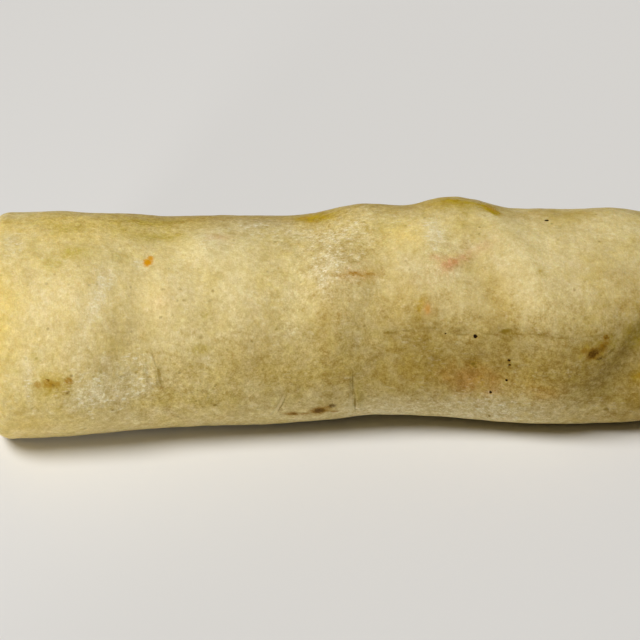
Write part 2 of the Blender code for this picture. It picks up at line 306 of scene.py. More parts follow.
FLECKS = {
    Spot.PORE: patches(
        # on top, at the right half's edge and below it
        (57.0, 81, 1.0, 0.60, 0.50), (37.0, 161.6, 1.0, 0.52, 0.64), (29.5, 161, 0.8, 0.26, 0.22),
        (45.5, 175, 1.0, 0.42, 0.40), (45.7, 178, 0.8, 0.36, 0.32), (45.0, 188.2, 1.0, 0.37, 0.36),
        (41.0, 197.4, 0.8, 0.36, 0.55),
        # the back, finished like the front
        (-48.0, 48, 0.9, 0.4, 0.4), (8.0, 36, 0.9, 0.35, 0.35),
    ),
    Spot.SPECK_AND_CREASE_SHADE: patches(
        # beside the toasted spot at the left end
        (-65.0, 174.2, 0.6, 0.5, 0.4),
        # beside the toasted spot at the right end
        (71.3, 167.4, 0.7, 1.3, 0.45, 40),
        # painted shade: dark dashes in the crease along the right half's edge
        (15.4, 161.6, 0.6, 1.8, 0.40), (19.6, 160.4, 0.35, 1.5, 0.35), (25.5, 158.2, 0.35, 2.4, 0.40),
        (33.4, 161.2, 0.4, 1.8, 0.35), (40.2, 160.0, 0.35, 1.4, 0.35),
        (44.4, 157.8, 0.8, 1.8, 0.60, 12), (48.0, 158.8, 0.5, 1.5, 0.35),
        (52.6, 158.4, 0.45, 2.6, 0.30), (59.0, 159.4, 0.3, 2.4, 0.30), (66.5, 158.4, 0.3, 2.4, 0.35),
        # painted shade in the creases low in front
        (5.9, 190, 0.5, 0.22, 4.0), (6.4, 208, 0.7, 0.25, 4.5), (8.2, 203, 0.3, 0.8, 2.0),
        (-12.3, 201, 0.55, 0.22, 4.6, -20),
        # painted shade in the curved crease of the left half, and small olive specks about it
        (-44.4, 168, 0.4, 0.30, 2.6, 14), (-43.1, 178, 0.5, 0.50, 3.2, 4),
        (-43.9, 180, 0.35, 0.35, 2.2), (-32.3, 157.3, 0.35, 0.8, 0.6), (-36.3, 138.7, 0.45, 0.6, 0.4),
        (-42.2, 146.9, 0.45, 0.6, 0.3, 20), (-41.6, 132.7, 0.35, 0.7, 0.35),
        (-29.7, 139.0, 0.35, 0.8, 0.4, 20),
        # scattered over the front
        (36.5, 179, 0.8, 0.6, 0.6), (37.2, 181, 0.6, 0.4, 0.5), (41.0, 216.9, 0.8, 0.4, 0.7),
        (70.8, 210.3, 0.7, 0.8, 0.7), (-49.0, 175.5, 0.5, 0.40, 0.40), (-49.7, 153.7, 0.35, 0.35, 0.35),
        (-19.5, 159.8, 0.5, 0.45, 0.40), (-38.0, 176.3, 0.5, 0.45, 0.45), (-25.2, 180, 0.4, 0.45, 0.40),
        (-29.5, 198.3, 0.7, 0.70, 0.50), (-39.2, 207.7, 0.5, 0.40, 0.50),
        (-13.2, 154.5, 0.45, 0.40, 0.35), (-58, 130, 0.3, 0.4, 0.4),
        # the back, finished like the front
        (24.0, 16, 0.6, 0.6, 0.5), (74.0, 30, 0.6, 0.5, 0.5),
    ),
    Spot.RUST: patches(
        # in the toasted spot at the left end
        (-71.0, 178.2, 0.7, 1.8, 1.4, -15), (-68.6, 178.8, 0.6, 1.2, 1.0, 20),
        (-73.6, 178.9, 0.6, 1.2, 1.1), (-65.6, 176.8, 0.9, 1.3, 1.2),
        # low in front
        (-9.9, 210.4, 0.9, 2.3, 1.3), (-11.0, 209.6, 0.5, 0.8, 0.8), (-6.6, 211.0, 0.8, 1.4, 0.8),
        (-2.9, 209.7, 0.95, 2.9, 2.1), (-0.9, 207.4, 0.75, 1.2, 1.1, 30), (1.3, 213.0, 0.7, 1.3, 0.8),
        # in the toasted spot at the right end
        (68.6, 165.6, 0.75, 2.2, 1.5, 35), (69.4, 163.6, 0.9, 1.7, 1.2, 35),
        (66.6, 168.2, 0.95, 2.6, 1.9, 35), (64.3, 166.4, 0.7, 1.2, 1.0, 35),
        (69.7, 159.4, 1.0, 1.0, 0.9), (79.0, 186.0, 0.6, 1.3, 1.0),
        # the brown streak by the floury patch
        (4.2, 129.6, 0.4, 1.2, 0.4), (6.7, 128.6, 0.85, 1.4, 0.6), (8.7, 129.6, 0.5, 0.9, 0.4),
        (10.9, 129.0, 0.65, 1.2, 0.45),
    ),
    Spot.CHAR: patches(
        # in the toasted spot at the left end
        (-70.9, 176.4, 0.7, 0.4, 0.35), (-69.6, 179.2, 0.4, 0.5, 0.4), (-66.3, 183.4, 0.6, 0.70, 0.60),
        # low in front
        (-9.6, 210.2, 0.7, 1.2, 0.7), (-2.9, 209.7, 0.95, 1.7, 1.3), (0.4, 206.3, 0.9, 1.1, 0.9),
        # in the toasted spot at the right end
        (66.5, 168.2, 1.0, 1.9, 1.3, 35), (68.4, 166.4, 0.5, 0.8, 0.6, 35),
        (69.6, 164.2, 0.5, 0.7, 0.5), (68.2, 171.4, 0.9, 1.1, 0.7), (69.7, 159.4, 0.6, 0.6, 0.5),
        # the back, finished like the front
        (-30.0, 22, 0.8, 1.5, 0.9, 15), (-27.0, 24, 0.6, 1.0, 0.7), (38.0, 40, 0.8, 1.3, 0.9),
        (61.0, 12, 0.7, 1.2, 0.9, -30),
    ),
    Spot.AMBER: patches(
        # an orange drop of spiced oil, and fainter golden ones
        (-45.5, 115.2, 1.0, 1.4, 1.6, -20), (-44.7, 112.4, 0.9, 0.9, 1.0, 45),
        (25.1, 148.6, 0.35, 0.8, 1.2), (-5.2, 68.0, 0.25, 1.6, 2.0, 15),
        (43.2, 71.5, 0.3, 1.2, 2.8, 27),
        # the back, finished like the front
        (-62.0, 38, 0.7, 1.2, 1.2),
    ),
    Spot.CREASE_HIGHLIGHT: patches(
        # painted highlights on the lit lips of the creases low in front
        (-13.1, 202, 0.7, 0.45, 4.8, -20), (5.3, 205, 0.4, 0.45, 4.5),
    ),
}


def smooth_curve(at: np.ndarray, along: np.ndarray, values: np.ndarray) -> np.ndarray:
    """A smooth curve through points: cubic pieces with the slopes of their neighbours.

    Args:
        at: Places where it is read.
        along: Places of the points, rising.
        values: Heights of the points.

    Returns:
        The curve's height at each place.
    """
    slopes = np.gradient(values, along)
    k = np.clip(np.searchsorted(along, at) - 1, 0, len(along) - 2)
    span = along[k + 1] - along[k]
    u = (at - along[k]) / span
    ends = values[k] * (1 + 2 * u) * (1 - u) ** 2 + values[k + 1] * u**2 * (3 - 2 * u)
    return ends + span * u * (1 - u) * (slopes[k] * (1 - u) - slopes[k + 1] * u)


@dataclass(frozen=True)
class Unevenness:
    """Random waves of the dough: values on a lattice of cells, blended smoothly, of a given height."""

    cell: Triple
    height: float
    seed: int

    def at(self, points: np.ndarray) -> np.ndarray:
        """Reads the waves: each cell's eight corner values, blended with quintic weights.

        Args:
            points: Places, with x, y and z in the last axis.

        Returns:
            Heights between -height and height.
        """
        table = np.random.default_rng(self.seed).uniform(-1.0, 1.0, LATTICE_VALUES)
        scaled = points / np.array(self.cell) + LATTICE_SHIFT * self.seed
        low = np.floor(scaled).astype(np.int64)
        part = scaled - low
        weight = part**3 * (part * (part * 6 - 15) + 10)
        total = np.zeros(points.shape[:-1])
        for corner in itertools.product((0, 1), repeat=3):
            side = np.array(corner)
            key = np.abs((low + side) @ np.array(LATTICE_STEPS))
            total += np.prod(np.where(side == 1, weight, 1 - weight), axis=-1) * table[key % LATTICE_VALUES]
        return self.height * total


@dataclass
class RolledTortilla:
    """The tortilla as one closed skin: its long side, a rim at each end and the ends folded in."""

    length: float = 175 * MM
    tortilla_radius: float = 140 * MM
    sheet: float = 2.0 * MM
    squareness: float = 2.25
    rest_sink: float = 2.2 * MM
    rest_blend: float = 0.2 * MM
    rest_at: tuple[float, float] = (-64 * MM, 62 * MM)
    rest_strip: float = 4 * MM
    rest_clear: float = 0.8 * MM
    rest_reach: float = 8 * MM
    # the ends
    rim_radius: float = 5.0 * MM
    face_dish: float = 3.0 * MM
    face_middle: tuple[float, float] = (-1.5 * MM, -2.5 * MM)
    spiral_turns: float = 2.3
    spiral_depth: float = 2.0 * MM
    spiral_slope: float = 0.7
    spiral_lip: float = 0.13
    spiral_start: float = 0.12
    pleats: int = 5
    pleat_depth: float = 0.6 * MM
    pleat_twist: float = 3.0
    tip_depth: float = 0.3 * MM
    # the free edge, which wavers by waves of period, share and phase
    edge_lowest_deg: float = -52.0
    edge_middle: float = 6 * MM
    edge_waver: float = 0.7 * MM
    edge_waves: tuple[Triple, ...] = (
        (5.1 * MM, 0.5, 0.0), (2.3 * MM, 0.3, 1.0), (9.7 * MM, 1.0, 2.0),
    )
    edge_round: float = 1.6 * MM
    edge_gap: float = 0.25 * MM
    edge_dip: float = 0.2 * MM
    edge_dip_width: float = 0.9 * MM
    # fine relief, which fades towards the surface that it lies on and towards each end's middle
    waves: tuple[Unevenness, ...] = (
        Unevenness((16 * MM, 13 * MM, 13 * MM), 0.28 * MM, 3),
        Unevenness((7 * MM, 6 * MM, 6 * MM), 0.18 * MM, 5),
        Unevenness((2.6 * MM, 4.5 * MM, 4.5 * MM), 0.08 * MM, 7),
        Unevenness((3.2 * MM, 1.7 * MM, 1.7 * MM), 0.045 * MM, 9),
    )
    crease_lip_at: float = 1.8
    crease_taper: float = 4.0
    relief_above: float = 3 * MM
    relief_fade: float = 0.7
    # the mesh
    unroll_radius: float = 28 * MM
    columns: int = 250
    around: int = 264
    edge_rows: int = 6
    edge_steps: float = 1.4
    rim_rings: int = 8
    face_rings: int = 44
    # patches, whose outlines are ragged by waves, and loose ones where the camera doesn't see
    ragged: tuple[Unevenness, ...] = (
        Unevenness((2.2 * MM,) * 3, 0.28, 21),
        Unevenness((0.9 * MM,) * 3, 0.2, 23),
    )
    patch_fade: float = 1.25
    seed: int = 11
    loose_patches: int = 26
    loose_along_mm: float = 78.0
    loose_around_deg: tuple[float, float] = (-105.0, 50.0)
    loose_size: tuple[float, float] = (0.7, 1.2)
    loose_share: tuple[float, float] = (0.6, 1.0)
    loose_turn_deg: float = 40.0
    stations: tuple[Station, ...] = STATIONS
    lumps: tuple[Patch, ...] = LUMPS
    creases: tuple[Crease, ...] = CREASES
    patches: dict[Dressing, tuple[Patch, ...]] = field(default_factory=lambda: dict(PATCHES))

    def station(self, name: str, x: np.ndarray) -> np.ndarray:
        """One field of the stations, read along the roll."""
        along = np.array([s.along for s in self.stations])
        return smooth_curve(x, along, np.array([getattr(s, name) for s in self.stations]))

    def free_edge(self, x: np.ndarray) -> np.ndarray:
        """Angle of the free edge: the sagitta of the tortilla's round rim laid up the back, with a waver.

        Args:
            x: Places along the roll.

        Returns:
            Angles in radians.
        """
        rise = self.tortilla_radius - np.sqrt(self.tortilla_radius**2 - (x - self.edge_middle) ** 2)
        waver = sum(share * np.sin(x / period + phase) for period, share, phase in self.edge_waves)
        raised = (rise + self.edge_waver * waver) / self.station("half_height", x)
        return np.radians(self.edge_lowest_deg) + raised

    def turns(self) -> np.ndarray:
        """Shares of a turn round the roll, from the free edge to just under it, close together at both ends.

        Returns:
            The shares, rising from 0 to 1.
        """
        closer = np.linspace(0.0, 1.0, self.edge_rows + 1)[1:-1] * self.edge_steps / self.around
        plain = np.linspace(0.0, 1.0, self.around + 1)
        return np.sort(np.concatenate([plain, closer, 1 - closer]))

    def swelling(self, x: np.ndarray, angle: np.ndarray) -> np.ndarray:
        """Height of the lumps at (x, angle): a sum of slanted bell shapes on the unrolled side."""
        radius = self.station("half_height", x)
        return sum(lump.amount * bell(lump, x, angle, radius) for lump in self.lumps)

    def round_radius(self, x: np.ndarray, angle: np.ndarray) -> np.ndarray:
        """Radius of the section: a superellipse, where powers of cosine and sine over its sizes add up to 1.

        Args:
            x: Places along the roll.
            angle: Angles in radians.

        Returns:
            Radii, with the lumps.
        """
        wide, high = self.station("half_width", x), self.station("half_height", x)
        power = self.squareness
        section = np.abs(np.cos(angle) / wide) ** power + np.abs(np.sin(angle) / high) ** power
        return section ** (-1 / power) + self.swelling(x, angle)

    def middle_height(self, x: np.ndarray) -> np.ndarray:
        """Height of the section's middle, so that its underside would sink in a little."""
        return self.station("half_height", x) - self.rest_sink + self.station("lift", x)

    def rested(self, x: np.ndarray, z: np.ndarray) -> np.ndarray:
        """Heights with the underside laid flat, through a short bend; it touches the surface on two strips.

        Args:
            x: Places along the roll.
            z: Heights of the round section.

        Returns:
            Heights of the resting one.
        """
        away = np.min([np.abs(x - at) for at in self.rest_at], axis=0) - self.rest_strip / 2
        base = self.rest_clear * (1 - np.exp(-np.maximum(away, 0.0) / self.rest_reach))
        over = z - base
        bend = (over + self.rest_blend) ** 2 / (4 * self.rest_blend)
        return base + np.where(over < -self.rest_blend, 0.0, np.where(over < self.rest_blend, bend, over))

    def face_relief(self, share: np.ndarray, turn: np.ndarray) -> np.ndarray:
        """How far an end's face stands out: layers along a spiral, each over the next one inward, and pleats.

        Going inwards, a layer rises by a power of its own share and drops to the next one over a round lip,
        a quarter of an ellipse.

        Args:
            share: Share of the face's radius.
            turn: Share of a turn.

        Returns:
            Heights, none of them over 0.
        """
        phase = (1 - share) * self.spiral_turns - turn
        part = phase % 1.0
        lip = 1 - np.clip((1 - part) / self.spiral_lip, 0.0, 1.0)
        layer = part**self.spiral_slope * np.sqrt(1 - lip**2)
        start = np.minimum((1 - share) / self.spiral_start, 1.0)
        pleat = np.cos(2 * np.pi * self.pleats * turn + self.pleat_twist * share)
        fade = 6 * share**2 * (1 - share)
        layers = start * np.sqrt(share) * self.spiral_depth * (layer - 1)
        return layers + self.pleat_depth * fade * (pleat - 1)

    def edge_drop(self, turn: np.ndarray) -> np.ndarray:
        """How far the sheet's rounded free edge lies below its full thickness: a quarter of an ellipse.

        Args:
            turn: Shares of a turn; the edge is at 0, and the sheet under it at 1.

        Returns:
            Depths, with a slight dip just in front of the edge.
        """
        inner = 1 - np.clip(turn * 2 * np.pi * self.unroll_radius / self.edge_round, 0.0, 1.0)
        before = (1 - turn) * 2 * np.pi * self.unroll_radius / self.edge_dip_width
        dip = self.edge_dip * np.exp(-(before**2))
        return (self.sheet - self.edge_gap) * (1 - np.sqrt(1 - inner**2)) + dip

    def layout(self) -> tuple[np.ndarray, ...]:
        """Rings from near the left end's middle, over its rim, along the side and in at the right end.

        Each end's rings go out over a quarter of a circle, and then in over the dished face.

        Returns:
            Columns, one row a ring: place along the roll where the section is read, how far the ring is
            shifted from it, how far it is drawn in, its share of the section, its share of the edge's step,
            and the side of the face that it is on.
        """
        straight = self.length / 2 - self.rim_radius
        x = np.linspace(-straight, straight, self.columns + 1)
        side = np.stack([x, 0 * x, 0 * x, 0 * x + 1, 0 * x + 1, 0 * x])
        bend = 0.5 * np.pi * np.arange(1, self.rim_rings + 1) / self.rim_rings
        one = np.ones_like(bend)
        drawn = self.rim_radius * (1 - np.cos(bend))
        rim = np.stack([straight * one, self.rim_radius * np.sin(bend), drawn, one, np.cos(bend), 0 * one])
        share = 1 - np.arange(1, self.face_rings) / self.face_rings
        one = np.ones_like(share)
        out = self.rim_radius - self.face_dish * (1 - share**2)
        face = np.stack([straight * one, out, self.rim_radius * one, share, 0 * one, one])
        right = np.concatenate([rim, face], axis=1)
        mirror = np.array([[-1], [-1], [1], [1], [1], [-1]])
        rings = np.concatenate([(right * mirror)[:, ::-1], side, right], axis=1)
        return tuple(row[:, None] for row in rings)

    def smooth_form(self) -> tuple[np.ndarray, np.ndarray, np.ndarray]:
        """The skin without its fine relief: the section with the edge's step, the lumps and the ends' folds.

        Returns:
            Points as a grid of rings and turns, their angles round the roll, and each ring's share of the
            section.
        """
        turn = self.turns()[None, :]
        x, shift, drawn, share, step, face = self.layout()
        angle = self.free_edge(x) + 2 * np.pi * turn
        radius = self.round_radius(x, angle) + step * (self.sheet * (0.5 - turn) - self.edge_drop(turn))
        radius = (radius - drawn) * share
        face_y, face_z = self.face_middle
        y = self.station("sway", x) + face_y * (1 - share) + radius * np.cos(angle)
        z = self.rested(x, self.middle_height(x) + face_z * (1 - share) + radius * np.sin(angle))
        along = x + shift + face * self.face_relief(share, turn)
        return np.stack([along + 0 * angle, y, z], axis=-1), angle, share

    def groove(self, crease: Crease, x: np.ndarray, angle: np.ndarray) -> np.ndarray:
        """Height of one crease: a groove and a lip, as bell shapes of the distance from its bowed line.

        Args:
            crease: The crease.
            x: Places along the roll.
            angle: Angles in radians.

        Returns:
            Heights, fading out at both ends of the line.
        """
        start, end = (
            np.array([along, np.radians(around) * self.unroll_radius])
            for along, around in zip(crease.along, crease.around_deg)
        )
        middle = np.radians(np.mean(crease.around_deg))
        off = (angle - middle + np.pi) % (2 * np.pi) - np.pi
        place = np.stack([x, (middle + off) * self.unroll_radius], axis=-1)
        line, full = end - start, np.linalg.norm(end - start)
        t = (place - start) @ line / full**2
        across = ((place - start) @ np.array([-line[1], line[0]])) / full
        across = across - crease.bow * 4 * t * (1 - t)
        taper = np.clip(1 - np.abs(2 * t - 1) ** self.crease_taper, 0.0, 1.0)
        bottom = np.exp(-((across / crease.width) ** 2))
        lip = np.exp(-((across / crease.width - self.crease_lip_at) ** 2))
        return taper * (crease.lip * lip - crease.depth * bottom)

    def fine_relief(self, points: np.ndarray, angle: np.ndarray, share: np.ndarray) -> np.ndarray:
        """Heights of waves and creases over the smooth form, weaker towards each end's middle and underneath.

        Args:
            points: The smooth form.
            angle: Angles round the roll.
            share: Each ring's share of the section.

        Returns:
            Heights along the skin's normals.
        """
        height = sum(wave.at(points) for wave in self.waves)
        for crease in self.creases:
            height = height + self.groove(crease, points[..., 0], angle)
        flat = np.clip(points[..., 2] / self.relief_above, 0.0, 1.0)
        return height * flat * share**self.relief_fade

    def points(self) -> tuple[np.ndarray, np.ndarray]:
        """The skin with its fine relief: the smooth form moved along its normals.

        The normals are the cross product of the grid's differences along its two directions.

        Returns:
            Points and their angles.
        """
        smooth, angle, share = self.smooth_form()
        normal = np.cross(np.gradient(smooth, axis=1), np.gradient(smooth, axis=0))
        size = np.linalg.norm(normal, axis=-1, keepdims=True)
        normal = normal / np.maximum(size, 1e-12)
        row = len(smooth) // 2
        if np.sum((smooth[row] - smooth[row].mean(axis=0)) * normal[row]) < 0:
            normal = -normal
        moved = smooth + normal * self.fine_relief(smooth, angle, share)[..., None]
        moved[..., 2] = np.maximum(moved[..., 2], 0.0)
        return moved, angle

    def place(self, along: float, around_deg: float) -> tuple[np.ndarray, np.ndarray]:
        """A place on the skin's long side and the outward direction there, from points just beside it.

        Args:
            along: Distance along the roll.
            around_deg: Angle round the roll.

        Returns:
            The point and its normal.
        """
        x = along + np.array([-0.5, 0.0, 0.5])[:, None] * MM
        angle = np.radians(around_deg) + np.array([-0.02, 0.0, 0.02])[None, :]
        turn = ((angle - self.free_edge(x)) / (2 * np.pi)) % 1.0
        radius = self.round_radius(x, angle) + self.sheet * (0.5 - turn)
        y = self.station("sway", x) + radius * np.cos(angle)
        z = self.rested(x, self.middle_height(x) + radius * np.sin(angle))
        grid = np.stack([x + 0 * angle, y, z], axis=-1)
        normal = np.cross(grid[1, 2] - grid[1, 0], grid[2, 1] - grid[0, 1])
        outward = np.array([0.0, np.cos(angle[0, 1]), np.sin(angle[0, 1])])
        normal = normal * np.sign(normal @ outward)
        return grid[1, 1], normal / np.linalg.norm(normal)

    def dressing(self, kind: Dressing, points: np.ndarray, angle: np.ndarray) -> np.ndarray:
        """Amount of one dressing: its named patches, and loose ones on the sides that the camera doesn't see.

        A patch is a bell shape of the distance from its middle, ragged by random waves and cut off at 1.

        Args:
            kind: Which dressing.
            points: Points of the skin.
            angle: Their angles.

        Returns:
            Amounts from 0 to 1.
        """
        ragged = sum(wave.at(points) for wave in self.ragged)
        total = np.zeros(points.shape[:-1])
        for patch in self.patches[kind] + self.loose(kind):
            far = np.maximum(oval_distance(patch, points[..., 0], angle, self.unroll_radius) + ragged, 0.0)
            amount = np.clip(patch.amount * np.exp(-self.patch_fade * far**2), 0.0, 1.0)
            total = 1 - (1 - total) * (1 - amount)
        return total

    def loose(self, kind: Dressing) -> tuple[Patch, ...]:
        """Patches like the named ones, strewn over the back and the underside by a seeded draw.

        Args:
            kind: Which dressing they are of.

        Returns:
            The patches.
        """
        named = self.patches[kind]
        draw = np.random.default_rng([self.seed, list(Dressing).index(kind)])
        count = self.loose_patches * len(named) // sum(len(p) for p in self.patches.values())
        made = []
        for _ in range(max(count, 2)):
            like = named[draw.integers(len(named))]
            along = draw.uniform(-self.loose_along_mm, self.loose_along_mm) * MM
            around = draw.uniform(*self.loose_around_deg)
            size = draw.uniform(*self.loose_size)
            amount = like.amount * draw.uniform(*self.loose_share)
            turn = draw.uniform(-self.loose_turn_deg, self.loose_turn_deg)
            made.append(Patch(along, around, amount, like.length * size, like.spread * size, turn))
        return tuple(made)

    def build(self) -> bpy.types.Object:
        """Makes the closed mesh: quads between neighbouring rings, and a fan at each end's middle.

        Returns:
            The piece, at the origin.
        """
        grid, angle = self.points()
        rings, turns = grid.shape[:2]
        tips = [grid[row].mean(axis=0) - (side * self.tip_depth, 0, 0) for row, side in ((0, -1), (-1, 1))]
        vertices = np.concatenate([grid.reshape(-1, 3), tips])
        ids = np.arange(rings * turns).reshape(rings, turns)
        after = np.roll(ids, -1, axis=1)
        quads = np.stack([ids[:-1], after[:-1], after[1:], ids[1:]], axis=-1).reshape(-1, 4)
        left = np.stack([after[0], ids[0], np.full(turns, rings * turns)], axis=-1)
        right = np.stack([ids[-1], after[-1], np.full(turns, rings * turns + 1)], axis=-1)
        mesh = bpy.data.meshes.new("tortilla_skin")
        mesh.from_pydata(vertices.tolist(), [], quads.tolist() + left.tolist() + right.tolist())
        for kind in Dressing:
            amount = self.dressing(kind, grid, angle).reshape(-1)
            values = np.concatenate([amount, [0.0, 0.0]]).astype(np.float32)
            mesh.attributes.new(kind.value, "FLOAT", "POINT").data.foreach_set("value", values)
        close_seams(mesh)
        mesh.shade_smooth()
        piece = bpy.data.objects.new("tortilla_skin", mesh)
        bpy.context.scene.collection.objects.link(piece)
        return piece


def bell(patch: Patch, x: np.ndarray, angle: np.ndarray, radius: np.ndarray) -> np.ndarray:
    """A bell shape of height 1 over a patch, by its distance in units of the patch's own sizes."""
    return np.exp(-0.5 * oval_distance(patch, x, angle, radius) ** 2)


def oval_distance(patch: Patch, x: np.ndarray, angle: np.ndarray, radius: np.ndarray | float) -> np.ndarray:
    """Distance from a patch's middle on the unrolled side, in units of its length and spread.

    Args:
        patch: The patch.
        x: Places along the roll.
        angle: Angles in radians.
        radius: Radius that unrolls an angle to a distance.

    Returns:
        Distances, 1 on the patch's outline.
    """
    off = (angle - np.radians(patch.around_deg) + np.pi) % (2 * np.pi) - np.pi
    along, across = x - patch.along, off * radius
    c, s = np.cos(np.radians(patch.turn_deg)), np.sin(np.radians(patch.turn_deg))
    return np.hypot((along * c - across * s) / patch.length, (along * s + across * c) / patch.spread)


def close_seams(mesh: bpy.types.Mesh) -> None:
    """Merges the points that the ends' rings have in common and turns all faces outwards.

    Args:
        mesh: The mesh, changed in place.
    """
    work = bmesh.new()
    work.from_mesh(mesh)
    bmesh.ops.remove_doubles(work, verts=work.verts[:], dist=SAME_POINT)
    bmesh.ops.recalc_face_normals(work, faces=work.faces[:])
    work.to_mesh(mesh)
    work.free()


@dataclass(frozen=True)
class Noise:
    """Grains of about one size with finer layers of a given strength, and the window of them that shows."""

    size: float
    detail: float = 2.0
    roughness: float = 0.5
    shown: tuple[float, float] = (0.0, 1.0)
    amount: tuple[float, float] = (0.0, 1.0)


class Graph:
    """Short words for the nodes of one material."""

    def __init__(self, name: str) -> None:
        """Starts a material with its output, a plain shader and its coordinates in metres.

        Args:
            name: The material's name.
        """
        self.material = bpy.data.materials.new(name)
        self.material.use_nodes = True
        self.nodes = self.material.node_tree.nodes
        self.links = self.material.node_tree.links
        self.shader = self.nodes["Principled BSDF"]
        self.place = self.nodes.new("ShaderNodeTexCoord").outputs["Object"]

    def feed(self, socket: Socket, value: object) -> None:
        """Links a socket to an output, or sets its value.

        Args:
            socket: An input.
            value: An output or a value.
        """
        if isinstance(value, Socket):
            self.links.new(value, socket)
        else:
            socket.default_value = value

    def amount(self, kind: Dressing) -> Socket:
        """The mesh's own amount of a dressing.

        Args:
            kind: Which dressing.

        Returns:
            Its amount, from 0 to 1.
        """
        node = self.nodes.new("ShaderNodeAttribute")
        node.attribute_name = kind.value
        return node.outputs["Fac"]

    def maths(self, operation: str, *values: object, clamp: bool = False) -> Socket:
        """One sum, product or other operation on numbers.

        Args:
            operation: Its name in the math node.
            values: Numbers or outputs.
            clamp: Whether the result is kept between 0 and 1.

        Returns:
            The result.
        """
        node = self.nodes.new("ShaderNodeMath")
        node.operation, node.use_clamp = operation, clamp
        for socket, value in zip(node.inputs, values):
            self.feed(socket, value)
        return node.outputs[0]

    def raised(self, kind: Dressing, more: float, base: object) -> Socket:
        """A base value and so much more where a dressing is full."""
        return self.maths("MULTIPLY_ADD", self.amount(kind), more, base)

    def vectors(self, operation: str, *values: object, output: str = "Vector") -> Socket:
        """One operation on vectors.

        Args:
            operation: Its name in the vector math node.
            values: Vectors or outputs.
            output: Which output is wanted.

        Returns:
            The result.
        """
        node = self.nodes.new("ShaderNodeVectorMath")
        node.operation = operation
        for socket, value in zip(node.inputs, values):
            self.feed(socket, value)
        return node.outputs[output]

    def grain(self, noise: Noise, vector: Socket, output: str = "Fac") -> Socket:
        """A noise over the whole of its range.

        Args:
            noise: Its size and its finer layers.
            vector: Coordinates in metres.
            output: Which output is wanted.

        Returns:
            Numbers about one half, or colours about grey.
        """
        node = self.nodes.new("ShaderNodeTexNoise")
        self.feed(node.inputs["Vector"], vector)
        numbers = {"Scale": 1 / noise.size, "Detail": noise.detail, "Roughness": noise.roughness}
        for name, number in numbers.items():
            self.feed(node.inputs[name], number)
        return node.outputs[output]

    def cloud(self, noise: Noise, vector: Socket) -> Socket:
        """The window of a noise that shows, as amounts."""
        return self.window(self.grain(noise, vector), *noise.shown, noise.amount)

    def shaken(self, vector: Socket, size: float, reach: float) -> Socket:
        """Coordinates moved about by noise, which makes an oval's outline ragged.

        Args:
            vector: Coordinates in metres.
            size: Size of the noise's grains.
            reach: How far it moves them, from side to side.

        Returns:
            The moved coordinates.
        """
        offset = self.vectors("SUBTRACT", self.grain(Noise(size), vector, "Color"), (0.5, 0.5, 0.5))
        return self.vectors("MULTIPLY_ADD", offset, (reach,) * 3, vector)

    def cells(self, vector: Socket, size: float) -> bpy.types.Node:
        """Scattered points about size apart.

        Args:
            vector: Coordinates in metres.
            size: Distance between neighbours.

        Returns:
            The node, with distances to the nearest point in cells, and that point's random colour.
        """
        node = self.nodes.new("ShaderNodeTexVoronoi")
        self.feed(node.inputs["Vector"], vector)
        node.inputs["Scale"].default_value = 1 / size
        return node

    def window(self, value: object, low: float, high: float, to: tuple[float, float] = (0.0, 1.0)) -> Socket:
        """A smooth step of a value from low to high.

        Args:
            value: The value.
            low: Where the step starts.
            high: Where it ends.
            to: Results at its start and its end.

        Returns:
            The result.
        """
        node = self.nodes.new("ShaderNodeMapRange")
        node.interpolation_type = "SMOOTHSTEP"
        numbers = {"Value": value, "From Min": low, "From Max": high, "To Min": to[0], "To Max": to[1]}
        for name, number in numbers.items():
            self.feed(node.inputs[name], number)
        return node.outputs["Result"]

    def mixed(self, factor: object, first: object, second: object, blend: str = "MIX") -> Socket:
        """A mix of two colours.

        Args:
            factor: Share of the second.
            first: First colour or output.
            second: Second colour or output.
            blend: Blend type.

        Returns:
            The mixed colour.
        """
        node = self.nodes.new("ShaderNodeMix")
        node.data_type, node.blend_type = "RGBA", blend
        self.feed(node.inputs["Factor"], factor)
        for socket, value in ((node.inputs[6], first), (node.inputs[7], second)):
            self.feed(socket, (*value, 1.0) if isinstance(value, tuple) else value)
        return node.outputs[2]

    def spot(self, vector: Socket, centre: Vector, turned: Euler, sizes: Triple) -> Socket:
        """A soft-edged oval at one place.

        Args:
            vector: Coordinates in metres.
            centre: The oval's middle.
            turned: Its axes' turn.
            sizes: Its half sizes along its own axes.

        Returns:
            1 in the middle, 0 outside.
        """
        node = self.nodes.new("ShaderNodeMapping")
        node.vector_type = "TEXTURE"
        for name, value in (("Vector", vector), ("Location", centre), ("Rotation", turned), ("Scale", sizes)):
            self.feed(node.inputs[name], value)
        return self.window(self.vectors("LENGTH", node.outputs["Vector"], output="Value"), *OVAL_EDGE)


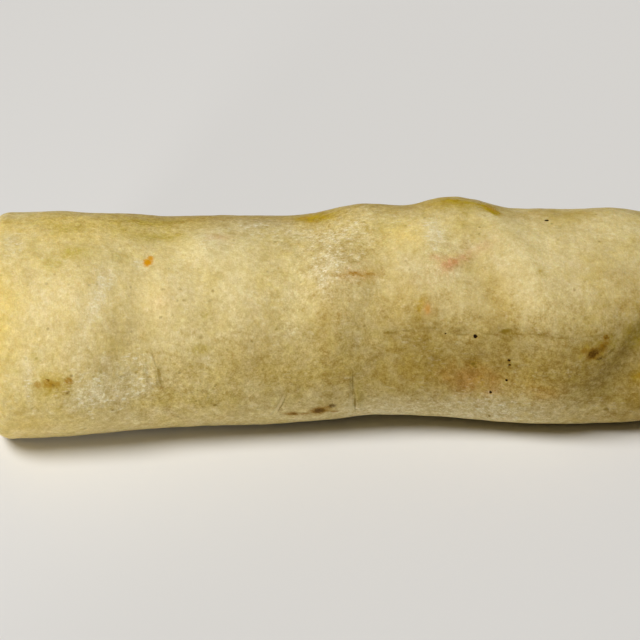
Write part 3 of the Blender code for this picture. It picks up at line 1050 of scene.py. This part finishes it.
@dataclass(frozen=True)
class TortillaFinish:
    """Colours and surface of the soft flour tortilla."""

    # the dough
    cream: Colour = (0.749, 0.608, 0.311)
    butter: Colour = (0.734, 0.574, 0.211)
    olive: Colour = (0.440, 0.310, 0.050)
    grain_dark: Colour = (0.72, 0.66, 0.46)
    grain_pale: Colour = (1.15, 1.23, 1.38)
    # its dressings
    # a whiter tint, painted light where the side light and the floor's bounce fall
    painted_light_tint: Colour = (0.650, 0.535, 0.315)
    # lighter, creamier dough, painted light on lit bulges, on the knob and on the lips of creases
    pale: Colour = (0.845, 0.705, 0.365)
    # browner dough, painted shade
    painted_shade_tan: Colour = (0.445, 0.294, 0.054)
    yellow: Colour = (0.820, 0.590, 0.145)
    mustard: Colour = (0.490, 0.365, 0.045)
    # whitish flour, also painted light where the floor's light bounces up and on glints
    white: Colour = (0.820, 0.735, 0.510)
    # dark olive-brown, painted shade in creases and the tuck, and smudges
    painted_shade_and_smudges: Colour = (0.235, 0.140, 0.002)
    gold: Colour = (0.470, 0.305, 0.002)
    pink: Colour = (0.630, 0.260, 0.110)
    ochre: Colour = (0.460, 0.310, 0.025)
    # its flecks
    # dark olive, for specks and for painted shade in thin creases
    speck_and_crease_shade: Colour = (0.230, 0.145, 0.008)
    amber: Colour = (0.600, 0.270, 0.005)
    rust: Colour = (0.340, 0.165, 0.003)
    brown: Colour = (0.120, 0.052, 0.001)
    pore: Colour = (0.010, 0.004, 0.001)
    # clouds of butter and olive, stronger in the grainier patches, and dark dots, each in its own cell
    butter_clouds: Noise = Noise(6 * MM, 4.0, 0.75, (0.34, 0.66))
    olive_clouds: tuple[Noise, ...] = (
        Noise(13 * MM, 3.0, 0.6, (0.36, 0.72), (0.0, 0.26)),
        Noise(5.2 * MM, 3.0, 0.6, (0.40, 0.74), (0.0, 0.36)),
        Noise(2.1 * MM, 3.0, 0.6, (0.44, 0.74), (0.0, 0.44)),
    )
    olive_stretch: Triple = (1.0, 0.75, 0.75)
    olive_plain: float = 0.8
    olive_coarse: float = 0.5
    dots_apart: float = 2.6 * MM
    dots_drawn: tuple[float, float] = (0.45, 1.0)
    dots_size: tuple[float, float] = (0.02, 0.17)
    dots_edge: tuple[float, float] = (-0.08, 0.06)
    dots_share: float = 0.65
    # the noise that breaks up the dressings, in full where they are over half
    breakup: Noise = Noise(1.1 * MM, 3.0, 0.6)
    breakup_edge: float = 2.0
    # fine grain as sizes and strengths, and pale strokes with their faint field, partly dry flour and partly
    # painted glints on fine wrinkles
    grains: tuple[tuple[float, float], ...] = ((2.3 * MM, 0.85), (1.0 * MM, 0.95), (0.42 * MM, 1.05))
    grain_detail: float = 1.0
    grain_plain: float = 0.6
    grain_coarse: float = 1.3
    strokes: Noise = Noise(0.7 * MM, 1.0, 0.5, (0.56, 0.70))
    strokes_stretch: Triple = (0.4, 1.0, 1.0)
    strokes_field: Noise = Noise(7 * MM, 2.0, 0.5, (0.42, 0.62), (0.0, 0.18))
    strokes_floury: float = 0.9
    # flecks: the grains that shake their outlines and how far, the crumbs of browned ones, and ringed pores
    small_shake: tuple[float, float] = (0.4 * MM, 0.5 * MM)
    large_shake: tuple[float, float] = (0.9 * MM, 1.2 * MM)
    crumbs: Noise = Noise(0.5 * MM, 2.0, 0.5, (0.36, 0.56), (0.6, 1.0))
    pore_ring: tuple[float, float] = (0.0, 0.5)
    pore_hole: tuple[float, float] = (0.3, 0.8)
    # the surface
    sheen: Colour = (1.0, 0.84, 0.50)
    roughness: float = 0.48
    roughness_oily: float = -0.16
    roughness_floury: float = 0.2
    roughness_patches: Noise = Noise(2.6 * MM, 2.0, 0.5, (0.35, 0.65), (-0.07, 0.07))
    ior: float = 1.42
    specular: float = 0.12
    softness: float = 0.25
    softness_colours: Triple = (1.0, 0.6, 0.25)
    softness_depth: float = 0.9 * MM
    wrinkles: Noise = Noise(0.9 * MM, 3.0, 0.6)
    wrinkles_stretch: Triple = (1.0, 0.5, 0.5)
    pinholes: Noise = Noise(0.35 * MM)
    pinholes_share: float = 0.3
    pore_depth: float = 3.0
    relief: float = 0.10 * MM
    marks: dict[Spot, tuple[Patch, ...]] = field(default_factory=lambda: dict(FLECKS))

    def dress(self, piece: bpy.types.Object, skin: RolledTortilla) -> None:
        """Makes the material and puts it on the piece.

        Args:
            piece: The tortilla's object.
            skin: Its shape, which gives the flecks their places.
        """
        graph = Graph("soft_tortilla")
        small = graph.shaken(graph.place, *self.small_shake)
        large = graph.shaken(small, *self.large_shake)
        colour = self.grained(graph, self.flour_and_glints(graph, self.dressed(graph, self.dough(graph))))
        flecks = {}
        for kind in Spot:
            ragged = kind in (Spot.RUST, Spot.CHAR, Spot.AMBER)
            flecks[kind] = self.flecks(graph, skin, kind, large if ragged else small)
        crumbs = graph.cloud(self.crumbs, graph.place)
        for kind in (Spot.RUST, Spot.CHAR):
            flecks[kind] = graph.maths("MULTIPLY", flecks[kind], crumbs)
        tints = {
            Spot.CREASE_HIGHLIGHT: self.pale,
            Spot.SPECK_AND_CREASE_SHADE: self.speck_and_crease_shade,
            Spot.AMBER: self.amber,
            Spot.RUST: self.rust,
            Spot.CHAR: self.brown,
        }
        for kind, tint in tints.items():
            colour = graph.mixed(flecks[kind], colour, tint)
        for edge, tint in ((self.pore_ring, self.rust), (self.pore_hole, self.pore)):
            colour = graph.mixed(graph.window(flecks[Spot.PORE], *edge), colour, tint)
        graph.feed(graph.shader.inputs["Base Color"], colour)
        self.surface(graph, flecks[Spot.PORE])
        piece.data.materials.append(graph.material)

    def dough(self, graph: Graph) -> Socket:
        """Colour of the plain dough: cream to butter in clouds, with olive ones over them and dark dots.

        Args:
            graph: The material.

        Returns:
            The colour.
        """
        colour = graph.mixed(graph.cloud(self.butter_clouds, graph.place), self.cream, self.butter)
        streaked = graph.vectors("MULTIPLY", graph.place, self.olive_stretch)
        share = 0.0
        for noise in self.olive_clouds:
            share = graph.maths("ADD", share, graph.cloud(noise, streaked))
        strength = graph.raised(Dressing.COARSE, self.olive_coarse, self.olive_plain)
        colour = graph.mixed(graph.maths("MULTIPLY", share, strength), colour, self.olive)
        cells = graph.cells(graph.place, self.dots_apart)
        size = graph.window(cells.outputs["Color"], *self.dots_drawn, self.dots_size)
        dots = graph.window(graph.maths("SUBTRACT", size, cells.outputs["Distance"]), *self.dots_edge)
        return graph.mixed(graph.maths("MULTIPLY", dots, self.dots_share), colour, self.speck_and_crease_shade)

    def dressed(self, graph: Graph, colour: Socket) -> Socket:
        """The dough's colour under its dressings, each broken up by a fine noise.

        Args:
            graph: The material.
            colour: The dough's colour.

        Returns:
            The colour.
        """
        ragged = graph.maths("SUBTRACT", graph.grain(self.breakup, graph.place), 0.5)
        # each with its tint, how strongly the noise breaks it up and its largest share
        # the whiter tint, the lighter and the browner dough and the dark olive smudges are painted light and
        # shade, and the whitish flour partly so
        layers = (
            (Dressing.PAINTED_LIGHT_TINT, self.painted_light_tint, 0.5, 0.6),
            (Dressing.PAINTED_LIGHT, self.pale, 0.5, 0.55),
            (Dressing.TAN, self.painted_shade_tan, 0.6, 0.85),
            (Dressing.YELLOW, self.yellow, 0.6, 0.75),
            (Dressing.OLIVE, self.mustard, 1.6, 0.75),
            (Dressing.FLOUR_AND_PAINTED_LIGHT, self.white, 2.2, 0.5),
            (Dressing.PAINTED_SHADE_AND_SMUDGES, self.painted_shade_and_smudges, 2.0, 0.8),
            (Dressing.OIL, self.gold, 0.9, 1.0),
            (Dressing.FLUSH, self.pink, 1.0, 0.75),
            (Dressing.TOAST, self.ochre, 1.6, 0.85),
        )
        for kind, tint, breakup, most in layers:
            amount = graph.amount(kind)
            edge = graph.maths("MULTIPLY", amount, self.breakup_edge, clamp=True)
            broken = graph.maths("MULTIPLY", graph.maths("MULTIPLY", ragged, breakup), edge)
            share = graph.maths("MULTIPLY", graph.maths("ADD", amount, broken, clamp=True), most)
            colour = graph.mixed(share, colour, tint)
        return colour

    def grained(self, graph: Graph, colour: Socket) -> Socket:
        """Fine grain of the baked flour: darker and paler by the sum of three noises, bluer where paler.

        Args:
            graph: The material.
            colour: The colour so far.

        Returns:
            The colour.
        """
        share = 0.0
        for size, most in self.grains:
            noise = graph.grain(Noise(size, self.grain_detail), graph.place)
            share = graph.maths("MULTIPLY_ADD", graph.maths("SUBTRACT", noise, 0.5), most, share)
        strength = graph.raised(Dressing.COARSE, self.grain_coarse, self.grain_plain)
        share = graph.maths("MULTIPLY_ADD", share, strength, 0.5, clamp=True)
        return graph.mixed(1.0, colour, graph.mixed(share, self.grain_dark, self.grain_pale), "MULTIPLY")

    def flour_and_glints(self, graph: Graph, colour: Socket) -> Socket:
        """Short pale strokes along the roll, partly dry flour and partly painted glints on fine wrinkles,
        strong where there is flour and faint elsewhere.

        Args:
            graph: The material.
            colour: The colour so far.

        Returns:
            The colour.
        """
        strokes = graph.cloud(self.strokes, graph.vectors("MULTIPLY", graph.place, self.strokes_stretch))
        most = graph.raised(Dressing.FLOUR_AND_PAINTED_LIGHT, self.strokes_floury, graph.cloud(self.strokes_field, graph.place))
        most = graph.maths("MULTIPLY", most, graph.maths("SUBTRACT", 1.0, graph.amount(Dressing.OIL)))
        return graph.mixed(graph.maths("MULTIPLY", strokes, most), colour, self.white)

    def flecks(self, graph: Graph, skin: RolledTortilla, kind: Spot, vector: Socket) -> Socket:
        """All flecks of one kind: the largest of their ovals at each point.

        Args:
            graph: The material.
            skin: The tortilla's shape.
            kind: Which flecks.
            vector: Shaken coordinates, which make the outlines ragged.

        Returns:
            Their strength at each point.
        """
        total = 0.0
        for fleck in self.marks[kind]:
            centre, normal = skin.place(fleck.along, fleck.around_deg)
            axis_z = Vector(normal)
            axis_x = (Vector((1, 0, 0)) - axis_z * axis_z.x).normalized()
            axes = Matrix((axis_x, axis_z.cross(axis_x), axis_z)).transposed()
            turned = (axes @ Matrix.Rotation(np.radians(fleck.turn_deg), 3, "Z")).to_euler()
            oval = graph.spot(vector, Vector(centre), turned, (fleck.length, fleck.spread, FLECK_REACH))
            total = graph.maths("MAXIMUM", total, graph.maths("MULTIPLY", oval, fleck.amount))
        return total

    def surface(self, graph: Graph, pores: Socket) -> None:
        """Gloss, softness and the relief that is finer than the mesh.

        Args:
            graph: The material.
            pores: Strength of the pores at each point.
        """
        rough = graph.raised(Dressing.OIL, self.roughness_oily, self.roughness)
        rough = graph.raised(Dressing.FLOUR_AND_PAINTED_LIGHT, self.roughness_floury, rough)
        patchy = graph.cloud(self.roughness_patches, graph.place)
        wrinkles = graph.grain(self.wrinkles, graph.vectors("MULTIPLY", graph.place, self.wrinkles_stretch))
        pinholes = graph.grain(self.pinholes, graph.place)
        height = graph.maths("MULTIPLY_ADD", pinholes, self.pinholes_share, wrinkles)
        bump = graph.nodes.new("ShaderNodeBump")
        bump.inputs["Strength"].default_value = 1.0
        bump.inputs["Distance"].default_value = self.relief
        graph.feed(bump.inputs["Height"], graph.maths("MULTIPLY_ADD", pores, -self.pore_depth, height))
        values = {
            "Roughness": graph.maths("ADD", rough, patchy, clamp=True),
            "IOR": self.ior,
            "Specular IOR Level": self.specular,
            "Specular Tint": (*self.sheen, 1.0),
            "Subsurface Weight": self.softness,
            "Subsurface Radius": self.softness_colours,
            "Subsurface Scale": self.softness_depth,
            "Normal": bump.outputs["Normal"],
        }
        for name, value in values.items():
            graph.feed(graph.shader.inputs[name], value)


@dataclass
class Studio:
    """A plain pale floor, a wide soft light from above, a low one at the left front and a dim warm sky."""

    floor_half: float = 20.0
    floor_colour: Colour = (0.72, 0.71, 0.69)
    floor_roughness: float = 0.9
    sky: float = 0.07
    sky_colour: Colour = (1.0, 0.86, 0.66)
    top_from: Triple = (-0.45, -0.29, 0.84)
    top_angle_deg: float = 30.0
    top_strength: float = 3.2
    side_at: Triple = (-0.24, -0.42, 0.11)
    side_aim: Triple = (-0.100, 0.0, 0.03)
    side_cone_deg: float = 26.0
    side_blend: float = 1.0
    side_radius: float = 0.04
    side_power: float = 3.0

    def build(self) -> bpy.types.Object:
        """Makes the sky, the lights and the floor.

        Returns:
            The floor.
        """
        world = bpy.data.worlds.new("sky")
        world.use_nodes = True
        world.node_tree.nodes["Background"].inputs["Color"].default_value = (*self.sky_colour, 1.0)
        world.node_tree.nodes["Background"].inputs["Strength"].default_value = self.sky
        bpy.context.scene.world = world
        top = bpy.data.lights.new("top", "SUN")
        top.energy, top.angle = self.top_strength, np.radians(self.top_angle_deg)
        self.hang(top, self.top_from, (0.0, 0.0, 0.0))
        side = bpy.data.lights.new("side", "SPOT")
        side.energy, side.shadow_soft_size = self.side_power, self.side_radius
        side.spot_size, side.spot_blend = np.radians(self.side_cone_deg), self.side_blend
        self.hang(side, self.side_at, self.side_aim)
        return self.floor()

    def floor(self) -> bpy.types.Object:
        """Makes the floor, one square.

        Returns:
            The floor.
        """
        half = self.floor_half
        mesh = bpy.data.meshes.new("floor")
        corners = [(-half, -half, 0), (half, -half, 0), (half, half, 0), (-half, half, 0)]
        mesh.from_pydata(corners, [], [(0, 1, 2, 3)])
        paint = bpy.data.materials.new("floor")
        paint.use_nodes = True
        shader = paint.node_tree.nodes["Principled BSDF"]
        shader.inputs["Base Color"].default_value = (*self.floor_colour, 1.0)
        shader.inputs["Roughness"].default_value = self.floor_roughness
        mesh.materials.append(paint)
        floor = bpy.data.objects.new("floor", mesh)
        bpy.context.scene.collection.objects.link(floor)
        return floor

    def hang(self, data: bpy.types.Light, at: Triple, aim: Triple) -> None:
        """Puts a lamp at a place, turned to another place.

        Args:
            data: The lamp's light.
            at: Where it hangs.
            aim: Where it shines.
        """
        lamp = bpy.data.objects.new(data.name, data)
        lamp.location = at
        lamp.rotation_euler = (Vector(aim) - Vector(at)).to_track_quat("-Z", "Y").to_euler()
        bpy.context.scene.collection.objects.link(lamp)


@dataclass
class Camera:
    """The photograph's view: from the front, 30 degrees up, close to the whole of the roll."""

    target: Triple = (-2.1 * MM, 0.0, 23.95 * MM)
    distance: float = 0.75
    elevation_deg: float = 30.0
    roll_deg: float = -1.4
    frame_width: float = 167.68 * MM
    sensor: float = 36.0
    clip: tuple[float, float] = (0.01, 20.0)

    def build(self) -> bpy.types.Object:
        """Makes the camera and takes it for the scene.

        Returns:
            The camera.
        """
        data = bpy.data.cameras.new("camera")
        data.sensor_width = self.sensor
        data.lens = self.sensor * self.distance / self.frame_width
        data.clip_start, data.clip_end = self.clip
        camera = bpy.data.objects.new("camera", data)
        up = np.radians(self.elevation_deg)
        back = Vector((0.0, -np.cos(up), np.sin(up)))
        camera.location = Vector(self.target) + back * self.distance
        tilt = Matrix.Rotation(np.radians(self.roll_deg), 3, "Z")
        camera.rotation_euler = ((-back).to_track_quat("-Z", "Y").to_matrix() @ tilt).to_euler()
        bpy.context.scene.collection.objects.link(camera)
        bpy.context.scene.camera = camera
        return camera


def main() -> None:
    """Builds and dresses the wrap, then the studio and the camera."""
    logging.basicConfig(level=logging.INFO, format="%(name)s: %(message)s")
    skin = RolledTortilla()
    piece = skin.build()
    TortillaFinish().dress(piece, skin)
    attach(piece, "root")
    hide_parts("tortilla_wrap")
    log.info("%s: %d faces", piece.name, len(piece.data.polygons))
    Studio().build()
    Camera().build()
    bpy.context.scene.view_settings.view_transform = "Standard"
    log.info("floor, lights and camera placed")


if __name__ == "__main__":
    main()
